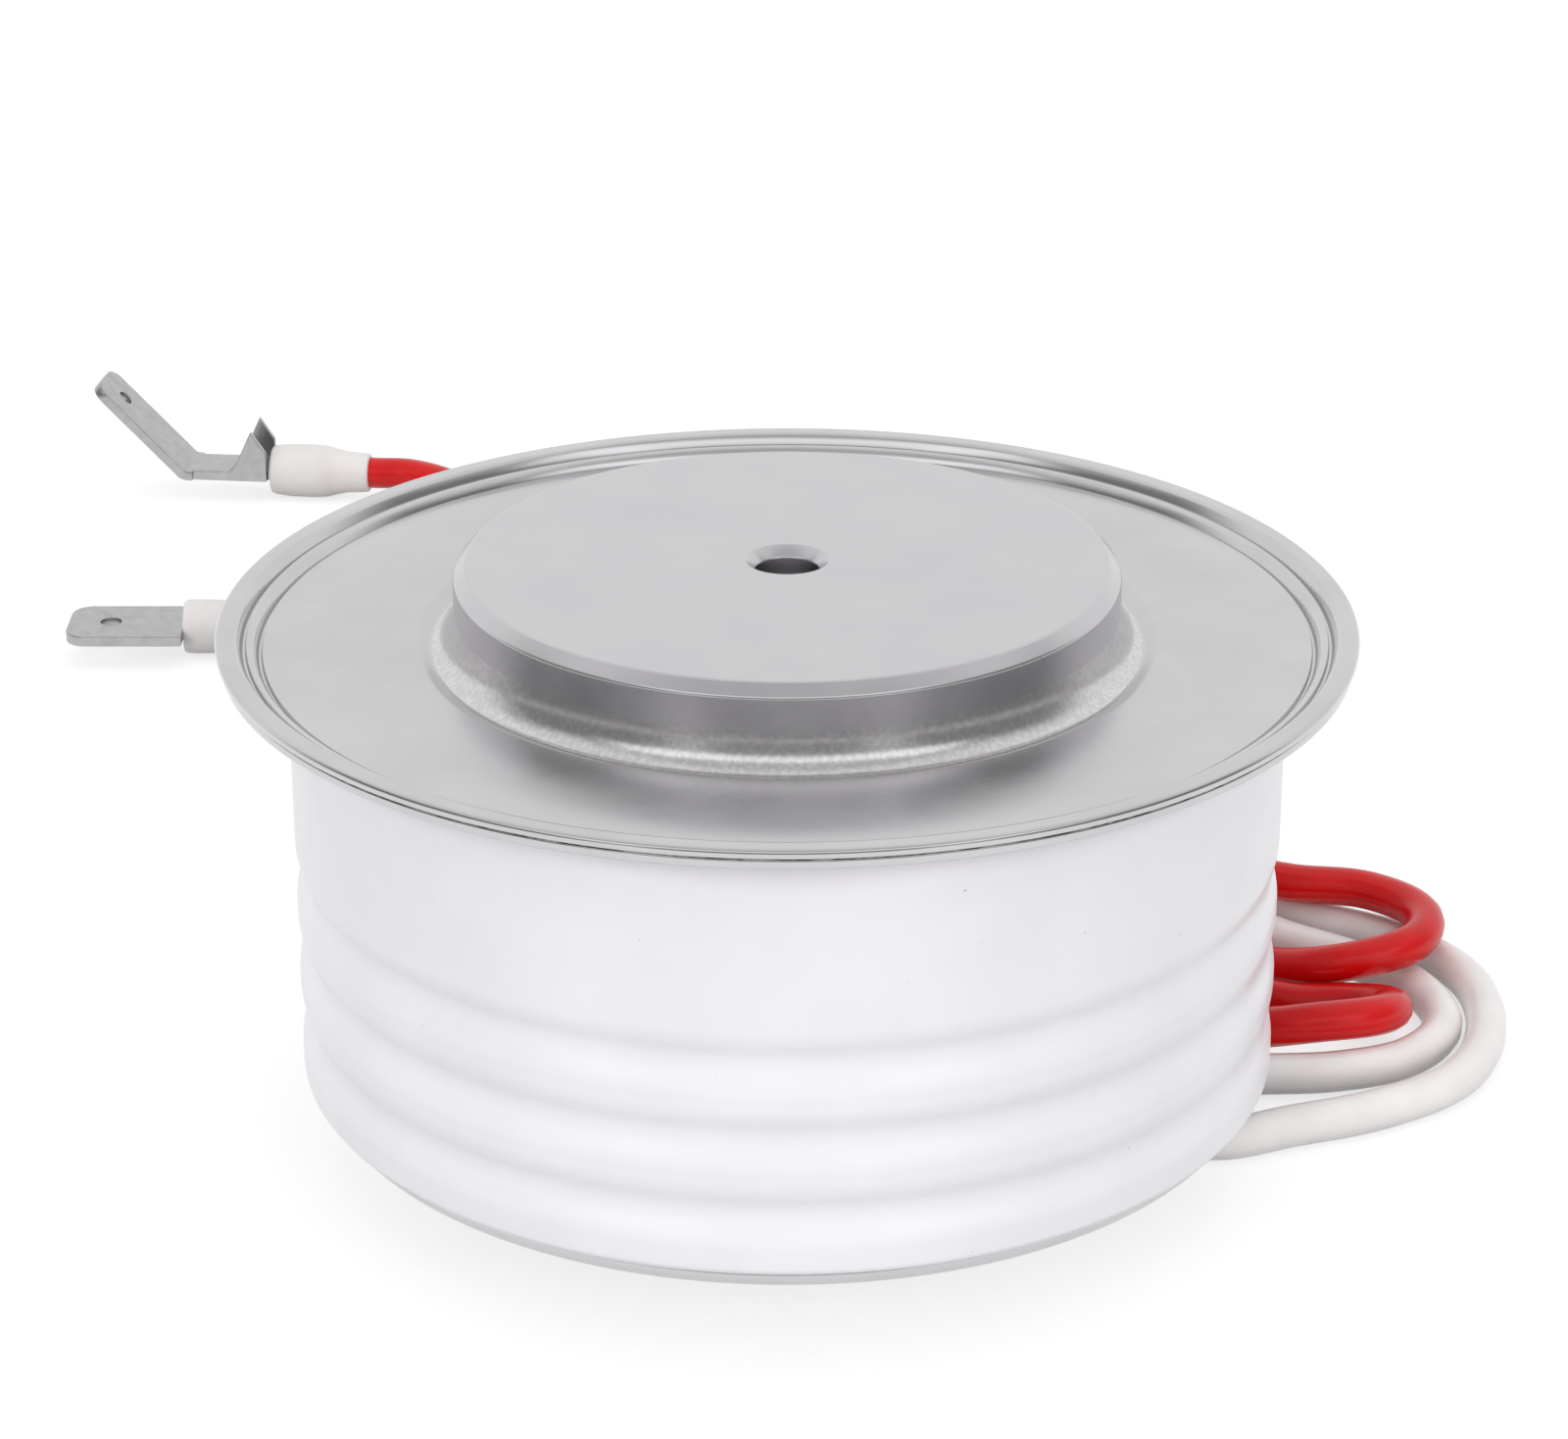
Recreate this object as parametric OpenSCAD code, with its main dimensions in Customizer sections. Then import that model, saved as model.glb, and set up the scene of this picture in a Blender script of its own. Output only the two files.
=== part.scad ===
// Disc (capsule) thyristor with gate and auxiliary cathode leads.
// Millimetres, +Z up. The origin is the centre of the lower contact face,
// so the part stands on its anode pole. The leads leave at the back, +Y.

/* [Housing] */
// Height over both contact faces
overall_h = 36; // [34:0.5:38]
// Diameter of each copper pole
pole_d = 38; // [37:0.5:39]
// Height that each pole stands proud of its flange
pole_proud = 4.4; // [4:0.1:5]
// Width of the chamfer round each contact face
pole_chamfer = 0.7; // [0.3:0.1:1]
// Diameter over the welded rim
rim_d = 65; // [64:0.5:67]
// Thickness of the two pressed sheets that meet at the rim
sheet_t = 0.6; // [0.5:0.05:0.7]
// Diameter of the ceramic ring
ceramic_d = 57; // [56:0.25:58]
// Wall of the ceramic ring
ceramic_wall = 5; // [4.5:0.1:5.5]
// Radius of the ceramic ring's upper shoulder
shoulder_r = 2.5; // [1.5:0.1:2.8]
// Diameter of the anode flange under the ceramic ring
anode_flange_d = 55; // [53:0.5:56]
// Thickness of the anode flange
anode_flange_t = 1.2; // [0.8:0.1:1.6]

/* [Ribbed wall] */
// Number of grooves between the ribs
groove_n = 3; // [2:1:3]
// Distance from groove to groove
groove_pitch = 4.5; // [4:0.1:4.7]
// Width of a groove at the surface
groove_w = 3; // [2:0.1:3.6]
// Depth of a groove
groove_depth = 0.6; // [0.3:0.05:0.8]

/* [Centring holes] */
// Diameter of the centring hole in each contact face
centre_hole_d = 3.6; // [3:0.1:4]
// Depth of the centring hole
centre_hole_depth = 3; // [2:0.25:3.5]

/* [Wafer stack] */
// Diameter of the molybdenum disc that carries the wafer
wafer_d = 38; // [37:0.25:38]
// Thickness of that molybdenum disc
anode_disc_t = 2.5; // [2:0.1:3]
// Thickness of the silicon
wafer_t = 0.6; // [0.4:0.05:0.8]
// Thickness of the cathode's molybdenum disc
cathode_disc_t = 1; // [0.8:0.1:1.2]
// Height of the anode pole's inner contact face
anode_h = 17; // [16.5:0.25:17.5]

/* [Gate] */
// Bore in the cathode pole that holds the gate's insulating cup
gate_bore_d = 7.4; // [7:0.1:8]
// Depth of that bore
gate_bore_h = 7.5; // [7:0.1:8]
// Outer diameter of the tube brazed through the ceramic wall
gate_tube_d = 3; // [2.8:0.1:3.2]
// Wire from the gate pin to the tube
gate_wire_d = 0.8; // [0.6:0.05:0.8]

/* [Leads] */
// Diameter over the insulation of each lead
lead_d = 2.5; // [2.3:0.05:2.5]
// Diameter of the shrink sleeves
sleeve_d = 4.3; // [4.3:0.05:4.5]
// Length of a terminal's sleeve
sleeve_len = 8; // [7:0.25:9]
// Width of the gate terminal's blade
gate_blade_w = 6.3; // [4.8:0.1:6.3]
// Length of the gate terminal's blade
gate_blade_len = 8.7; // [7:0.1:10]
// Width of the cathode terminal's blade
cathode_blade_w = 4.8; // [4.4:0.1:6.3]
// Length of the cathode terminal's blade
cathode_blade_len = 10; // [8:0.1:11]
// Thickness of a terminal's sheet
blade_t = 0.8; // [0.5:0.05:0.8]
// How far the cathode terminal's blade is bent up
blade_bend = 46; // [0:1:60]

/* [Hidden] */
$fn = 96;
eps = 0.01;

nickel = "silver";
copper = "peru";
moly = "slategray";
ptfe = "whitesmoke";

pole_r = pole_d / 2;
body_r = pole_r + 1.8;
rim_r = rim_d / 2;
ceramic_ro = ceramic_d / 2;
ceramic_ri = ceramic_ro - ceramic_wall;
wafer_r = wafer_d / 2;
lead_r = lead_d / 2;
sleeve_r = sleeve_d / 2;

// Levels of the lid, the weld ring and the ceramic
lid_z = overall_h - pole_proud;
ceramic_z1 = lid_z - 2 * sheet_t;
ceramic_z0 = pole_proud + anode_flange_t;
collar_dip = 0.4;
lid_collar_r = pole_r + 1.4;
lid_flat_r = lid_collar_r + 0.8;
braze_h = 2.2;
braze_w = lid_collar_r - pole_r;

// The rim's two pressed steps, inward from the edge
rim_step = 0.3;
rim_land = 0.45;
rim_rise = 1;
rim_outer_r = rim_r - 1.5;
rim_inner_r = rim_r - 2.4;

groove_r = (groove_w * groove_w / 4 + groove_depth * groove_depth) / (2 * groove_depth);
groove_z0 = ceramic_z0 + 3.6;

// Levels of the wafer stack
ring_seat_z = anode_h - 3;
wafer_z = anode_h + anode_disc_t;
disc_z = wafer_z + wafer_t;
contact_z = disc_z + cathode_disc_t;
cathode_contact_r = wafer_r - 2.5;
wafer_r0 = wafer_r - 0.4;
wafer_r1 = wafer_r - 1.2;

// The gate's pin, spring and wire
pin_r = 1.2;
pin_head_r = 2.1;
gate_z = contact_z + 1.3;
pin_head_z0 = gate_z - gate_wire_d / 2;
pin_head_z1 = gate_z + gate_wire_d / 2;
cup_wall = 1.3;
cup_top = 1;
pin_stem_h = 2;
cup_r = gate_bore_d / 2 - cup_wall;
disc_hole_r = 2.6;
spring_z1 = contact_z + gate_bore_h - cup_top;
spring_wire_d = 0.45;
spring_r = 1.7;
spring_turns = 5;
wire_sleeve_r = 0.9;
tube_y0 = ceramic_ri - 0.7;
tube_y1 = ceramic_ro + 2.5;
tube_crimp = 1.2;
gate_joint_y0 = tube_y1 - 1.8;
gate_joint_len = 10.8;
gate_joint_y1 = gate_joint_y0 + gate_joint_len;

// The cathode lug, turned round the axis from the back
lug_angle = -27;
lug_t = 0.6;
lug_w = 4;
tongue_w = 2;
lug_y = rim_r + 1.1;
lug_z1 = lid_z + rim_rise - 2 * sheet_t;
lug_z0 = lug_z1 - 3.9;
cathode_start_z = lug_z0 - 2.5;
lug_mid = lug_y + lug_t / 2;
cathode_start = [-lug_mid * sin(lug_angle), lug_mid * cos(lug_angle), cathode_start_z];
cathode_joint_z0 = cathode_start_z - 6;
cathode_joint_z1 = cathode_start_z + 2.2;

// Where each lead ends in its terminal, and the way it points
barrel_len = 3;
barrel_wall = 0.5;
barrel_r = lead_r + barrel_wall;
neck_w = 3.2;
cathode_neck_w = cathode_blade_w - 0.6;
ear_x = 1.9;
neck_len = 7;
bend_at = 8.7;
bend_r = blade_t;
terminal_z = sleeve_r;
gate_end = [-37.9, 74.8, terminal_z];
gate_heading = 180;
cathode_end = [-40.2, 109.3, terminal_z];
cathode_heading = 174;
gate_sleeve_start = neck_len - sleeve_len;
cathode_sleeve_start = ear_x - 0.2 - sleeve_len;
cathode_straight = sleeve_len + 1.5;
cathode_into_sleeve = sleeve_len - 1.2;

function heading(a) = [cos(a), sin(a), 0];
function before(end, a, d) = end - d * heading(a);

// Routes of the leads: off the body, down to the floor, round in loops, out to the terminals
floor_z = lead_r;
over_z = 3 * lead_r + 0.15;
gate_route = [
  [0, tube_y1, gate_z], [0, gate_joint_y1 + 0.5, gate_z], [0, gate_joint_y1 + 3, gate_z],
  [1, 50, 20], [3, 55, 12], [8, 57, 4.5], [14.5, 53.5, floor_z], [20.5, 46.5, floor_z],
  [25.5, 38.5, floor_z], [29.5, 31, floor_z], [33.5, 26.2, floor_z], [39, 22.6, floor_z],
  [42.6, 17.6, floor_z], [43.2, 10.5, floor_z], [40.6, 3.4, floor_z], [35.5, -0.6, floor_z],
  [30, -2.8, floor_z], [25, -4.5, floor_z], [22, -3.4, floor_z], [20.8, -0.4, floor_z],
  [22, 2.5, floor_z], [25, 3.7, floor_z], [29, 3.8, floor_z], [33.4, 4.2, floor_z],
  [37.6, 5.9, floor_z], [40.4, 10, floor_z], [39.6, 15.4, floor_z], [36, 19.6, floor_z],
  [31.6, 23, floor_z], [27.5, 28, floor_z], [22.5, 34, floor_z], [15.5, 39, floor_z],
  [4, 43.6, floor_z], [-8, 49, floor_z], [-14, 55.6, 1.7], [-17.8, 60.8, 3.1],
  [-21, 65.4, over_z + 0.2], [-24.4, 69.6, 3.3], [-28.2, 73.2, 2.3],
  before(gate_end, gate_heading, 6), before(gate_end, gate_heading, 4), gate_end
];
cathode_route = [
  cathode_start, cathode_start - [0, 0, 6.5], cathode_start - [0, 0, 9],
  [17, 32, 9], [21.5, 32, 5], [27, 28.6, over_z], [32.5, 25.6, over_z], [37.4, 24.4, over_z],
  [40.4, 20.6, over_z], [38.9, 16.2, over_z], [34.5, 14.9, 3.3], [30.6, 17.4, 1.9],
  [26.8, 21.6, floor_z], [21, 27.6, floor_z], [14, 33.4, floor_z], [6.5, 36.4, floor_z],
  [-0.5, 36.4, floor_z], [-4, 34.8, floor_z], [-5, 31.8, floor_z], [-3.6, 29, floor_z],
  [0, 27.8, floor_z], [6, 27.4, floor_z], [12.5, 26, floor_z], [19, 22, floor_z],
  [25.5, 16.8, floor_z], [31, 13.7, floor_z], [35, 12.6, 1.7], [37.2, 9.8, 2.8],
  [35.8, 6.8, 3.7], [32.2, 5.7, 3.8], [28.6, 6.7, 2.9], [24.4, 9.6, 1.5],
  [20.4, 13.8, floor_z], [16.2, 18.8, floor_z], [9, 23.2, floor_z], [-2, 24.4, floor_z],
  [-12, 27.5, floor_z], [-17.5, 35, floor_z], [-20, 48, floor_z], [-21, 66, floor_z],
  [-21.5, 84, floor_z], [-22.5, 97, floor_z], [-25, 104, floor_z + 0.4],
  before(cathode_end, cathode_heading, cathode_straight),
  before(cathode_end, cathode_heading, cathode_into_sleeve), cathode_end
];

// Directions along a curve, and a side direction carried along it so that the tube never twists
function unit(v) = v / norm(v);
function tangent(c, i) =
  let (a = c[max(i - 1, 0)], b = c[i], d = c[min(i + 1, len(c) - 1)])
  i == 0 ? unit(d - b) : i == len(c) - 1 ? unit(b - a) : unit(unit(b - a) + unit(d - b));
function carried(s, t) = unit(s - (s * t) * t);
function sides(c, first) = [
  for (i = 0, s = carried(first, tangent(c, 0)); i < len(c);
       i = i + 1, s = carried(s, tangent(c, min(i, len(c) - 1)))) s
];
function tube_ring(p, s, t, r, n) = [
  for (k = [0 : n - 1]) p + r * (cos(360 * k / n) * s + sin(360 * k / n) * cross(t, s))
];

module tube_along(c, r, n, first) {
  s = sides(c, first);
  m = len(c);
  points = [for (i = [0 : m - 1]) each tube_ring(c[i], s[i], tangent(c, i), r, n)];
  walls = [
    for (i = [0 : m - 2]) for (k = [0 : n - 1]) each [
      [i * n + k, (i + 1) * n + (k + 1) % n, i * n + (k + 1) % n],
      [i * n + k, (i + 1) * n + k, (i + 1) * n + (k + 1) % n]
    ]
  ];
  caps = [[for (k = [0 : n - 1]) k], [for (k = [n - 1 : -1 : 0]) (m - 1) * n + k]];
  polyhedron(points, concat(walls, caps));
}

// A round rod along +Y from y0 to y1 at the gate's level
module gate_rod(r, y0, y1) {
  translate([0, y0, gate_z]) rotate([-90, 0, 0]) cylinder(r = r, h = y1 - y0);
}

module disc(r, z0, z1) {
  translate([0, 0, z0]) cylinder(r = r, h = z1 - z0);
}

module ring(ro, ri, z0, z1) {
  difference() {
    disc(ro, z0, z1);
    disc(ri, z0 - 1, z1 + 1);
  }
}

// Blind centring hole with a drilled point and a countersunk mouth, opening at z = 0
module centring_hole() {
  r = centre_hole_d / 2;
  mouth = 0.6;
  translate([0, 0, -eps]) cylinder(r = r, h = centre_hole_depth + eps);
  translate([0, 0, centre_hole_depth]) cylinder(r1 = r, r2 = 0, h = r / tan(59));
  translate([0, 0, -eps]) cylinder(r1 = r + mouth + eps, r2 = r, h = mouth + eps);
}

module ceramic_profile() {
  h = ceramic_z1 - ceramic_z0;
  difference() {
    union() {
      translate([ceramic_ri, ceramic_z0]) square([ceramic_wall - shoulder_r, h]);
      translate([ceramic_ri, ceramic_z0]) square([ceramic_wall, h - shoulder_r]);
      translate([ceramic_ro - shoulder_r, ceramic_z1 - shoulder_r]) circle(shoulder_r);
    }
    for (i = [0 : groove_n - 1])
      translate([ceramic_ro - groove_depth + groove_r, groove_z0 + i * groove_pitch]) circle(groove_r);
  }
}

module ceramic_ring() {
  color("white") difference() {
    rotate_extrude() ceramic_profile();
    gate_rod(gate_tube_d / 2, ceramic_ri - 2, ceramic_ro + 2);
  }
}

module anode_pole() {
  color(nickel) difference() {
    rotate_extrude() polygon([
      [0, 0], [pole_r - pole_chamfer, 0], [pole_r, pole_chamfer], [pole_r, ceramic_z0],
      [body_r, ceramic_z0], [body_r, ring_seat_z], [wafer_r, ring_seat_z], [wafer_r, anode_h], [0, anode_h]
    ]);
    centring_hole();
  }
}

// Half-round edge of a sheet, from its upper to its lower surface, ending at radius r
function half_round(r, z1, t) = [
  for (a = [90 : -22.5 : -90]) [r - t / 2 + t / 2 * cos(a), z1 - t / 2 + t / 2 * sin(a)]
];

module anode_flange() {
  color(nickel) rotate_extrude() polygon(concat(
    [[pole_r, pole_proud], [pole_r, ceramic_z0]], half_round(anode_flange_d / 2, ceramic_z0, anode_flange_t)
  ));
}

module cathode_pole() {
  seat_z = lid_z - collar_dip - sheet_t;
  neck_z = contact_z + 6;
  color(nickel) difference() {
    rotate_extrude() polygon([
      [0, contact_z], [cathode_contact_r, contact_z], [cathode_contact_r, neck_z], [body_r, neck_z],
      [body_r, seat_z], [pole_r, seat_z], [pole_r, overall_h - pole_chamfer],
      [pole_r - pole_chamfer, overall_h], [0, overall_h]
    ]);
    translate([0, 0, overall_h]) mirror([0, 0, 1]) centring_hole();
    disc(gate_bore_d / 2, contact_z - 1, contact_z + gate_bore_h);
    translate([-1.7, 0, contact_z - 1]) cube([3.4, body_r + 1, 4.3]);
  }
}

// Upper surface of the lid as a section, from the pole outwards, lowered by drop
function lid_top(drop) = [
  [lid_flat_r, lid_z - drop], [rim_inner_r, lid_z - drop],
  [rim_inner_r + rim_step, lid_z + rim_land - drop], [rim_outer_r, lid_z + rim_land - drop],
  [rim_outer_r + rim_step, lid_z + rim_rise - drop]
];
function backwards(p) = [for (i = [len(p) - 1 : -1 : 0]) p[i]];

module cathode_flange() {
  top = concat([[pole_r, lid_z - collar_dip], [lid_collar_r, lid_z - collar_dip]], lid_top(0));
  low = concat([[pole_r, lid_z - collar_dip - sheet_t], [lid_collar_r, lid_z - collar_dip - sheet_t]],
               lid_top(sheet_t));
  color(nickel) rotate_extrude()
    polygon(concat(top, half_round(rim_r, lid_z + rim_rise, sheet_t), backwards(low)));
}

// Fillet of silver braze in the corner between the pole and the lid's collar
module lid_braze() {
  z0 = lid_z - collar_dip;
  color("gainsboro") rotate_extrude() polygon(concat(
    [[pole_r, z0], [pole_r + braze_w, z0]],
    [for (a = [0 : 15 : 90]) [pole_r + braze_w * (1 - sin(a)), z0 + braze_h * (1 - cos(a))]]
  ));
}

module weld_ring() {
  edge = rim_r - 0.2;
  start = ceramic_ri + 0.5;
  top = concat([[start, lid_z - sheet_t]], [for (i = [1 : 4]) lid_top(sheet_t)[i]]);
  low = concat([[start, lid_z - 2 * sheet_t]], [for (i = [1 : 4]) lid_top(2 * sheet_t)[i]]);
  color(nickel) rotate_extrude()
    polygon(concat(top, [[edge, lid_z + rim_rise - sheet_t], [edge, lid_z + rim_rise - 2 * sheet_t]],
                   backwards(low)));
}

module anode_moly_disc() {
  color(moly) disc(wafer_r, anode_h, wafer_z);
}

module silicon_wafer() {
  color("dimgray") translate([0, 0, wafer_z]) cylinder(r1 = wafer_r0, r2 = wafer_r1, h = wafer_t);
}

module edge_coating() {
  top = disc_z + 0.4;
  color("firebrick") rotate_extrude() polygon([
    [wafer_r0, wafer_z], [wafer_r, wafer_z], [wafer_r, top], [wafer_r1, top], [wafer_r1, disc_z]
  ]);
}

module cathode_moly_disc() {
  color(moly) ring(cathode_contact_r, disc_hole_r, disc_z, contact_z);
}

module locating_ring() {
  color(ptfe) ring(ceramic_ri - 0.3, wafer_r + 0.1, ring_seat_z, disc_z + 0.5);
}

module gate_pin() {
  color("gold") {
    disc(pin_r, disc_z, pin_head_z0);
    disc(pin_head_r, pin_head_z0, pin_head_z1);
    disc(0.7, pin_head_z1, pin_head_z1 + pin_stem_h);
  }
}

// Closed at both ends: the wire stays level for part of the first and last turns
module gate_spring() {
  z0 = pin_head_z1 + spring_wire_d / 2;
  rise = spring_z1 - pin_head_z1 - spring_wire_d;
  level = 0.6;
  per_turn = 12;
  steps = spring_turns * per_turn;
  turn_z = [for (i = [0 : steps]) max(0, min(1, (i / per_turn - level) / (spring_turns - 2 * level)))];
  c = [for (i = [0 : steps]) [
    spring_r * cos(360 * i / per_turn), spring_r * sin(360 * i / per_turn), z0 + rise * turn_z[i]
  ]];
  color("gray") tube_along(c, spring_wire_d / 2, 8, [0, 0, 1]);
}

module gate_insulator() {
  color(ptfe) difference() {
    disc(gate_bore_d / 2, contact_z, contact_z + gate_bore_h);
    disc(cup_r, contact_z - 1, spring_z1);
    translate([-0.8, 0, contact_z - 1]) cube([1.6, gate_bore_d, 3.1]);
  }
}

module gate_wire() {
  color("gold") difference() {
    gate_rod(gate_wire_d / 2, pin_r, tube_y1);
    disc(pin_head_r, pin_head_z0 - 1, pin_head_z1 + 1);
  }
}

module gate_wire_sleeve() {
  color(ptfe) difference() {
    gate_rod(wire_sleeve_r, gate_bore_d / 2 + 0.2, ceramic_ri + 1.5);
    gate_rod(gate_wire_d / 2, 0, ceramic_ri + 3);
  }
}

module gate_tube() {
  color(nickel) difference() {
    gate_rod(gate_tube_d / 2, tube_y0, tube_y1);
    gate_rod(gate_tube_d / 2 - 0.4, tube_y0 - 1, tube_y1 - tube_crimp);
    gate_rod(gate_wire_d / 2, tube_y0, tube_y1 + 1);
  }
}

module gate_joint_sleeve() {
  color("ivory") difference() {
    gate_rod(sleeve_r, gate_joint_y0, gate_joint_y1);
    gate_rod(gate_tube_d / 2, gate_joint_y0 - 1, tube_y1);
    gate_rod(lead_r, tube_y1 - 1, gate_joint_y1 + 1);
  }
}

// A bent strip welded under the rim, ending in a narrow tongue
module cathode_lug() {
  weld = 1.1;
  color(nickel) rotate(lug_angle) {
    translate([-lug_w / 2, rim_r - weld, lug_z1 - lug_t]) cube([lug_w, lug_y - rim_r + weld + lug_t, lug_t]);
    translate([-lug_w / 2, lug_y, lug_z0]) cube([lug_w, lug_t, lug_z1 - lug_z0]);
    translate([-tongue_w / 2, lug_y, cathode_start_z]) cube([tongue_w, lug_t, lug_z0 - cathode_start_z]);
  }
}

module cathode_joint_sleeve() {
  color("ivory") difference() {
    translate([cathode_start.x, cathode_start.y, cathode_joint_z0])
      cylinder(r = sleeve_r, h = cathode_joint_z1 - cathode_joint_z0);
    translate([cathode_start.x, cathode_start.y, cathode_joint_z0 - 1])
      cylinder(r = lead_r, h = cathode_start_z - cathode_joint_z0 + 1);
    rotate(lug_angle) translate([-tongue_w / 2, lug_y, cathode_start_z - 1]) cube([tongue_w, lug_t, 4]);
  }
}

module gate_lead() {
  color("snow") tube_along(gate_route, lead_r, 8, [0, 0, 1]);
}

module cathode_lead() {
  color("red") tube_along(cathode_route, lead_r, 8, [0, 1, 0]);
}

module at_end(end, a) {
  translate(end) rotate(a) children();
}

// What is cut from a blade along +X: the two corners of its tip and a detent hole
module blade_cuts(w, length) {
  tip = w / 4;
  translate([length - w / 2, 0, -blade_t]) cylinder(d = w / 4, h = 2 * blade_t);
  for (s = [0, 1]) mirror([0, s, 0]) translate([length - tip, w / 2 - tip, -blade_t])
    linear_extrude(2 * blade_t) difference() {
      square(2 * tip);
      circle(tip);
    }
}

// One side of the bent sheet: a flat land, the bend and the blade
function bend_side(bend, length, r) = concat(
  [[-blade_t / 2, bend_r - r]],
  [for (i = [0 : 6]) [r * sin(bend * i / 6), bend_r - r * cos(bend * i / 6)]],
  [[r * sin(bend) + length * cos(bend), bend_r - r * cos(bend) + length * sin(bend)]]
);

// Blade along +X from the origin, bent up round a radius if the bend isn't 0
module blade(bend, w, length) {
  difference() {
    if (bend > 0)
      translate([0, w / 2, 0]) rotate([90, 0, 0]) linear_extrude(w) polygon(concat(
        bend_side(bend, length, bend_r + blade_t / 2),
        backwards(bend_side(bend, length, bend_r - blade_t / 2))
      ));
    else
      translate([0, -w / 2, -blade_t / 2]) cube([length, w, blade_t]);
    translate([bend_r * sin(bend), 0, bend_r * (1 - cos(bend))]) rotate([0, -bend, 0]) blade_cuts(w, length);
  }
}

// Crimp barrel over the end of the lead, neck and blade, along +X with the lead's end at x = 0
module terminal(bend, wide_w, w, length) {
  set_back = bend_r * tan(bend / 2);
  reach = bend > 0 ? bend_at - set_back : neck_len;
  back = 0.8;
  difference() {
    translate([-barrel_len, 0, 0]) rotate([0, 90, 0]) cylinder(r = barrel_r, h = barrel_len + back);
    translate([-2 * barrel_len, 0, 0]) rotate([0, 90, 0]) cylinder(r = lead_r, h = 2 * barrel_len);
  }
  translate([back / 2, -neck_w / 2, -blade_t / 2]) cube([reach - back / 2, neck_w, blade_t]);
  if (wide_w > neck_w)
    translate([ear_x, -wide_w / 2, -blade_t / 2]) cube([reach - ear_x, wide_w, blade_t]);
  translate([reach, 0, 0]) blade(bend, w, length - set_back);
}

// Two open crimp ears that stand up at the sides of the wide part of the neck
module crimp_ears(wide_w) {
  ear_t = 0.5;
  for (s = [0, 1]) mirror([0, s, 0])
    translate([ear_x, wide_w / 2, 0]) rotate([90, 0, 0]) linear_extrude(ear_t)
      polygon([[0, 0], [3.4, 0], [2.4, 1.2], [1.2, 3.8], [0, 2]]);
}

module terminal_sleeve(start) {
  difference() {
    translate([start, 0, 0]) rotate([0, 90, 0]) cylinder(r = sleeve_r, h = sleeve_len);
    translate([-barrel_len, 0, 0]) rotate([0, 90, 0]) cylinder(r = barrel_r, h = 2 * sleeve_len);
    translate([-2 * sleeve_len, 0, 0]) rotate([0, 90, 0]) cylinder(r = lead_r, h = 2 * sleeve_len);
  }
}

module gate_terminal() {
  color("darkgray") at_end(gate_end, gate_heading)
    terminal(0, neck_w, gate_blade_w, gate_blade_len);
}

module cathode_terminal() {
  color("darkgray") at_end(cathode_end, cathode_heading) {
    terminal(blade_bend, cathode_neck_w, cathode_blade_w, cathode_blade_len);
    crimp_ears(cathode_neck_w);
  }
}

module gate_terminal_sleeve() {
  color("ivory") at_end(gate_end, gate_heading) terminal_sleeve(gate_sleeve_start);
}

module cathode_terminal_sleeve() {
  color("ivory") at_end(cathode_end, cathode_heading) terminal_sleeve(cathode_sleeve_start);
}

ceramic_ring();
anode_pole();
anode_flange();
cathode_pole();
cathode_flange();
weld_ring();
anode_moly_disc();
silicon_wafer();
edge_coating();
cathode_moly_disc();
locating_ring();
gate_pin();
gate_spring();
gate_insulator();
gate_wire();
gate_wire_sleeve();
gate_tube();
gate_joint_sleeve();
cathode_lug();
cathode_joint_sleeve();
gate_lead();
cathode_lead();
gate_terminal();
cathode_terminal();
gate_terminal_sleeve();
cathode_terminal_sleeve();
lid_braze();
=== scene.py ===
# %% [markdown]
# # A disc thyristor, dressed for its photograph
# A disc thyristor is a power switch for large currents. A silicon wafer sits between two copper
# poles, and a white alumina ring with two metal flanges seals it in. The solids come from the packed
# model. This script gives them smooth turned and pressed surfaces, real finishes, leads, light and a
# camera.

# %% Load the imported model
import math

import bmesh
import bpy
from mathutils import Matrix, Vector


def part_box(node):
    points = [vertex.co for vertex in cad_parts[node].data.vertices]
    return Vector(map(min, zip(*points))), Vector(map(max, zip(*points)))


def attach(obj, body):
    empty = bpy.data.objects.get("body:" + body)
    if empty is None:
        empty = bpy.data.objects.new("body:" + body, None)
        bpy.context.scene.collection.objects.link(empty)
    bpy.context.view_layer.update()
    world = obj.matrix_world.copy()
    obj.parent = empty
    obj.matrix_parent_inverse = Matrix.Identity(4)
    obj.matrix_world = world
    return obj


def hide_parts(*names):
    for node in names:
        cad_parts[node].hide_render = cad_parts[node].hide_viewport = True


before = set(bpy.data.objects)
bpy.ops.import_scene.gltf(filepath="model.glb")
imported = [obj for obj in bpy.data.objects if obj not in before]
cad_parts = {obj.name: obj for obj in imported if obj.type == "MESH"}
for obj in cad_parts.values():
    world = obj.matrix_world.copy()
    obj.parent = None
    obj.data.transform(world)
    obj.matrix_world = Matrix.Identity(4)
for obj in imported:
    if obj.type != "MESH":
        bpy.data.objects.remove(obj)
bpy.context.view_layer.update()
MM = 0.001
print("nodes:", len(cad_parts))

# %% [markdown]
# ## The camera
# The photograph looks down on the rim at about 23 degrees, from about 0.27 m, through a long lens.
# The ellipses of the rim, the pole and the ceramic gave the distance, the pitch and the focal length.
# A small lens shift keeps the object where the photograph has it, without turning the camera.

# %% Place the camera
IMAGE_WIDTH = 1600
IMAGE_HEIGHT = 1468
FOCAL_PIXELS = 4684
OPTICAL_CENTRE = (803.2, 712.2)
CAMERA_PITCH = 22.58
CAMERA_PLACE = Vector((0, -243.75, 128.8))

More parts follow.
